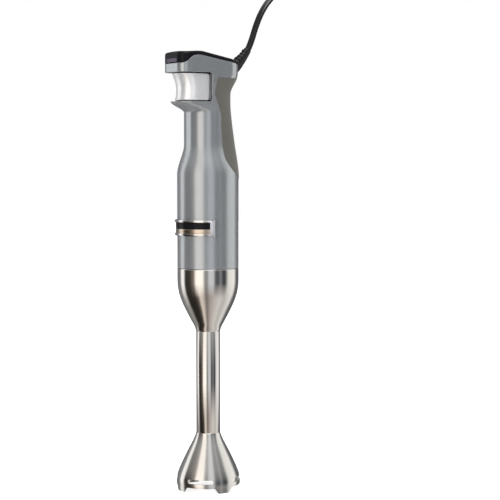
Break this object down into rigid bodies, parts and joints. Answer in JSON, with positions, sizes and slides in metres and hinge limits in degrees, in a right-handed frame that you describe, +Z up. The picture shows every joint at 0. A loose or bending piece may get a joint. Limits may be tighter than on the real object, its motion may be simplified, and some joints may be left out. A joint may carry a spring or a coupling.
{
  "type": "immersion blender",
  "caption": "Trigger-handled immersion blender with a waisted motor body, a twist-off steel blending arm ending in a footed bell guard, and a mains cord folded into a tied hank.",
  "frame": {"origin": "centre of the box of the object without its cord, at the surface the bell guard stands on", "axes": "+Z up along the blending arm to the head, -Y towards the trigger and the nose, +X to the right of someone who looks at the object from its trigger side"},
  "size_m": [0.137, 0.1637, 0.5054],
  "materials": {
    "housing_paint": "satin silver-grey paint over moulded plastic",
    "soft_grip": "soft-touch dark olive grey",
    "top_gloss": "glossy black",
    "chrome_trim": "bright chrome plating over plastic",
    "trigger_plate": "satin chrome plating over plastic",
    "badge_black": "glossy black inlay",
    "badge_champagne": "satin champagne inlay",
    "button_smoke": "smoky purple-grey gloss",
    "stainless": "polished and finely brushed",
    "shaft_steel": "ground steel",
    "spring_steel": "bright spring wire",
    "relief_rubber": "satin black",
    "cord_black": "satin black sheath",
    "seal_rubber": "matt black",
    "inner_plastic": "moulded dark grey",
    "tie_plastic": "matt black strap",
    "lamination": "stacked steel sheets",
    "copper": "enamelled copper wire",
    "bushing_brass": "sintered bushing metal",
    "prong_brass": "plated brass",
    "carbon": "pressed carbon",
    "board_green": "circuit board"
  },
  "bodies": {
    "handle": {"main_housing": "housing_paint", "rear_grip": "soft_grip", "top_cover": "top_gloss", "badge_frame": "chrome_trim", "badge_field": "badge_black", "badge_strip": "badge_champagne", "trigger_switch": "inner_plastic", "motor_stator": "lamination", "field_coil_right": "copper", "field_coil_left": "copper", "lower_bracket": "inner_plastic", "upper_bracket": "inner_plastic", "lower_motor_bushing": "bushing_brass", "upper_motor_bushing": "bushing_brass", "brush_holder_right": "bushing_brass", "brush_holder_left": "bushing_brass", "carbon_brush_right": "carbon", "carbon_brush_left": "carbon", "control_board": "board_green", "suppressor_capacitor": "inner_plastic", "nose_socket": "inner_plastic", "strain_relief": "relief_rubber", "cord_clamp": "inner_plastic", "power_cord": "cord_black", "cord_hank": "cord_black", "cord_tie": "tie_plastic", "plug_body": "cord_black", "plug_prong_left": "prong_brass", "plug_prong_right": "prong_brass"},
    "trigger": {"trigger_shell": "trigger_plate", "trigger_plunger": "inner_plastic", "trigger_spring": "spring_steel"},
    "lock_button": {"lock_button": "button_smoke", "button_spring": "spring_steel"},
    "rotor": {"motor_shaft": "shaft_steel", "armature_core": "lamination", "armature_winding_lower": "copper", "armature_winding_upper": "copper", "commutator": "copper", "cooling_fan": "inner_plastic", "drive_coupling": "inner_plastic"},
    "arm": {"arm_cup": "stainless", "arm_tube": "stainless", "bell_guard": "stainless", "arm_collar": "inner_plastic", "upper_arm_bushing": "bushing_brass", "lower_arm_bushing": "bushing_brass", "shaft_seal": "seal_rubber"},
    "blade_shaft": {"drive_shaft": "shaft_steel", "shaft_coupling": "shaft_steel", "blade_hub": "shaft_steel", "blade": "shaft_steel", "blade_nut": "shaft_steel"}
  },
  "joints": [
    {"name": "trigger_squeeze", "type": "slide", "parent": "handle", "child": "trigger", "axis": [0, 1, 0], "range_m": [0, 0.005], "stiffness_N_per_m": 600, "springref_m": -0.002},
    {"name": "lock_button_press", "type": "slide", "parent": "handle", "child": "lock_button", "axis": [0, 1, 0], "range_m": [0, 0.002], "stiffness_N_per_m": 500, "springref_m": -0.002},
    {"name": "motor_spin", "type": "hinge", "parent": "handle", "child": "rotor", "pos_m": [0, -0.00445, 0.25], "axis": [0, 0, 1], "continuous": true},
    {"name": "blade_spin", "type": "hinge", "parent": "handle", "child": "blade_shaft", "pos_m": [0, -0.00445, 0.1], "axis": [0, 0, 1], "continuous": true},
    {"name": "arm_twist", "type": "hinge", "parent": "handle", "child": "arm", "pos_m": [0, -0.00445, 0.2105], "axis": [0, 0, 1], "range_deg": [0, 40]}
  ],
  "couplings": [
    {"joint": "blade_spin", "follows": "motor_spin", "ratio": 1}
  ]
}
